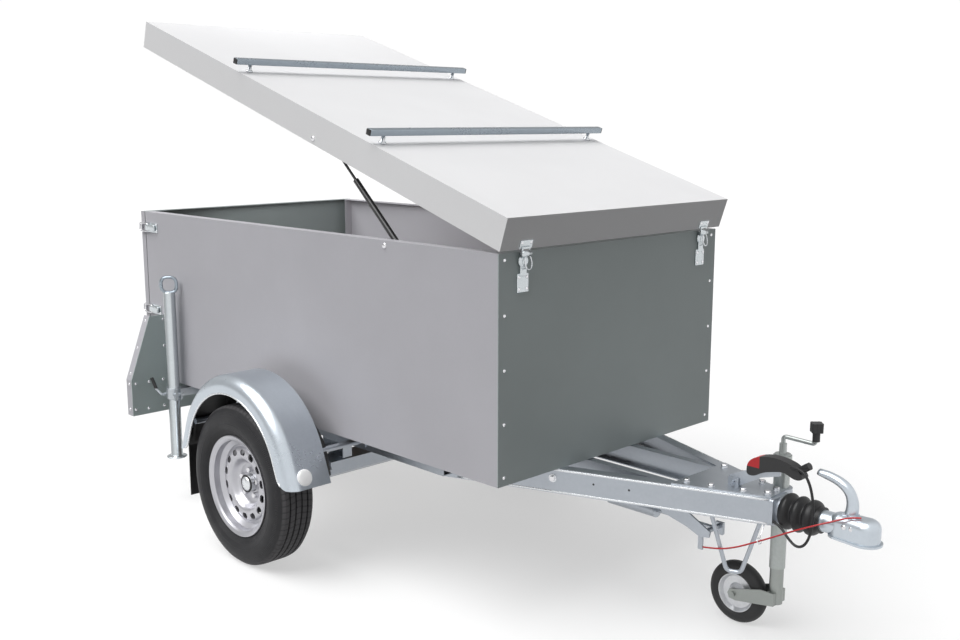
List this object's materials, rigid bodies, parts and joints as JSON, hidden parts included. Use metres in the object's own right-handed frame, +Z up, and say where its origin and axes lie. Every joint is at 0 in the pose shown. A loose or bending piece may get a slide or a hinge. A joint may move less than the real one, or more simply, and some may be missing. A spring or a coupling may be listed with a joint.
{
  "type": "box trailer with hinged lid",
  "caption": "Single-axle braked box trailer with a strut-held hinged lid, drop tailgate, roof bars, overrun coupling, jockey wheel and prop stands.",
  "frame": {"origin": "on the ground, in the middle of the trailer's length and width", "axes": "+X towards the coupling, +Y to the trailer's left, +Z up"},
  "size_m": [3.056, 1.592, 1.9516],
  "materials": {
    "galvanised": "hot-dip galvanised",
    "grey_panel": "satin grey coating",
    "floor_board": "film-faced plywood",
    "white_lid": "gloss white coating",
    "black_rubber": "matt",
    "tyre_rubber": "matt",
    "silver_rim": "silver paint",
    "dark_board": "satin grey coating",
    "lamp_red": "gloss lens",
    "black_paint": "satin black",
    "bright_steel": "polished rod",
    "black_plastic": "moulded",
    "red_sleeve": "plastic sleeve"
  },
  "bodies": {
    "chassis": {"axle_tube": "galvanised", "bellows": "black_rubber", "brake_bracket": "galvanised", "brake_rod": "galvanised", "breakaway_cable": "red_sleeve", "chassis_frame": "galvanised", "coupling_handle": "galvanised", "coupling_head": "galvanised", "draw_tube": "galvanised", "drawbar_beam_left": "galvanised", "drawbar_beam_right": "galvanised", "drawbar_plate": "galvanised", "fender_left": "galvanised", "fender_right": "galvanised", "floor_panel": "floor_board", "front_latch_left": "galvanised", "front_latch_right": "galvanised", "front_wall": "grey_panel", "handbrake_grip": "black_plastic", "handbrake_lever": "galvanised", "jockey_clamp": "galvanised", "jockey_tube": "galvanised", "light_board": "dark_board", "light_cable": "black_rubber", "mudflap_left": "black_rubber", "mudflap_right": "black_rubber", "overrun_housing": "galvanised", "prop_clamp_left": "galvanised", "prop_clamp_right": "galvanised", "rear_lamp_left": "lamp_red", "rear_lamp_right": "lamp_red", "side_wall_left": "grey_panel", "side_wall_right": "grey_panel", "swing_arm_left": "galvanised", "swing_arm_right": "galvanised", "wire_loop": "galvanised"},
    "wheel_right": {"tyre_right": "tyre_rubber", "rim_right": "silver_rim", "brake_drum_right": "black_paint"},
    "wheel_left": {"tyre_left": "tyre_rubber", "rim_left": "silver_rim", "brake_drum_left": "black_paint"},
    "lid": {"lid_shell": "white_lid", "roof_bar_front": "galvanised", "roof_bar_rear": "galvanised"},
    "strut_right": {"strut_cylinder_right": "black_paint"},
    "strut_left": {"strut_cylinder_left": "black_paint"},
    "rod_right": {"strut_rod_right": "bright_steel"},
    "rod_left": {"strut_rod_left": "bright_steel"},
    "gate": {"tailgate": "grey_panel"},
    "jockey_leg": {"jockey_nut": "galvanised"},
    "jockey_caster": {"jockey_fork": "galvanised"},
    "jockey_roller": {"jockey_wheel": "tyre_rubber"},
    "prop_right": {"prop_stand_right": "galvanised"},
    "prop_left": {"prop_stand_left": "galvanised"}
  },
  "joints": [
    {"name": "wheel_right_spin", "type": "hinge", "parent": "chassis", "child": "wheel_right", "pos_m": [-0.478, -0.708, 0.289], "axis": [0, 1, 0], "continuous": true},
    {"name": "wheel_left_spin", "type": "hinge", "parent": "chassis", "child": "wheel_left", "pos_m": [-0.478, 0.708, 0.289], "axis": [0, 1, 0], "continuous": true},
    {"name": "lid_hinge", "type": "hinge", "parent": "chassis", "child": "lid", "pos_m": [0.612, 0, 1.183], "axis": [0, 1, 0], "range_deg": [-18, 0]},
    {"name": "strut_right_pivot", "type": "hinge", "parent": "chassis", "child": "strut_right", "pos_m": [0.083, -0.483, 1.171], "axis": [0, 1, 0], "range_deg": [-37.41, 0.5]},
    {"name": "rod_right_slide", "type": "slide", "parent": "strut_right", "child": "rod_right", "axis": [-0.7362, 0, 0.6768], "range_m": [-0.0731, 0.001]},
    {"name": "strut_left_pivot", "type": "hinge", "parent": "chassis", "child": "strut_left", "pos_m": [0.083, 0.483, 1.171], "axis": [0, 1, 0], "range_deg": [-37.41, 0.5]},
    {"name": "rod_left_slide", "type": "slide", "parent": "strut_left", "child": "rod_left", "axis": [-0.7362, 0, 0.6768], "range_m": [-0.0731, 0.001]},
    {"name": "gate_hinge", "type": "hinge", "parent": "chassis", "child": "gate", "pos_m": [-1.51, 0, 0.474], "axis": [0, -1, 0], "range_deg": [0, 126]},
    {"name": "jockey_lift", "type": "slide", "parent": "chassis", "child": "jockey_leg", "axis": [0, 0, 1], "range_m": [0, 0.055]},
    {"name": "jockey_swivel", "type": "hinge", "parent": "jockey_leg", "child": "jockey_caster", "pos_m": [1.152, 0.112, 0.3], "axis": [0, 0, 1], "continuous": true},
    {"name": "jockey_spin", "type": "hinge", "parent": "jockey_caster", "child": "jockey_roller", "pos_m": [1.022, 0.112, 0.1], "axis": [0, 1, 0], "continuous": true},
    {"name": "prop_right_slide", "type": "slide", "parent": "chassis", "child": "prop_right", "axis": [0, 0, 1], "range_m": [-0.18, 0.23]},
    {"name": "prop_left_slide", "type": "slide", "parent": "chassis", "child": "prop_left", "axis": [0, 0, 1], "range_m": [-0.18, 0.23]}
  ],
  "couplings": [
    {"joint": "strut_right_pivot", "follows": "lid_hinge", "ratio": 2.0504},
    {"joint": "rod_right_slide", "follows": "lid_hinge", "m_per_rad": 0.22945},
    {"joint": "strut_left_pivot", "follows": "lid_hinge", "ratio": 2.0504},
    {"joint": "rod_left_slide", "follows": "lid_hinge", "m_per_rad": 0.22945}
  ]
}
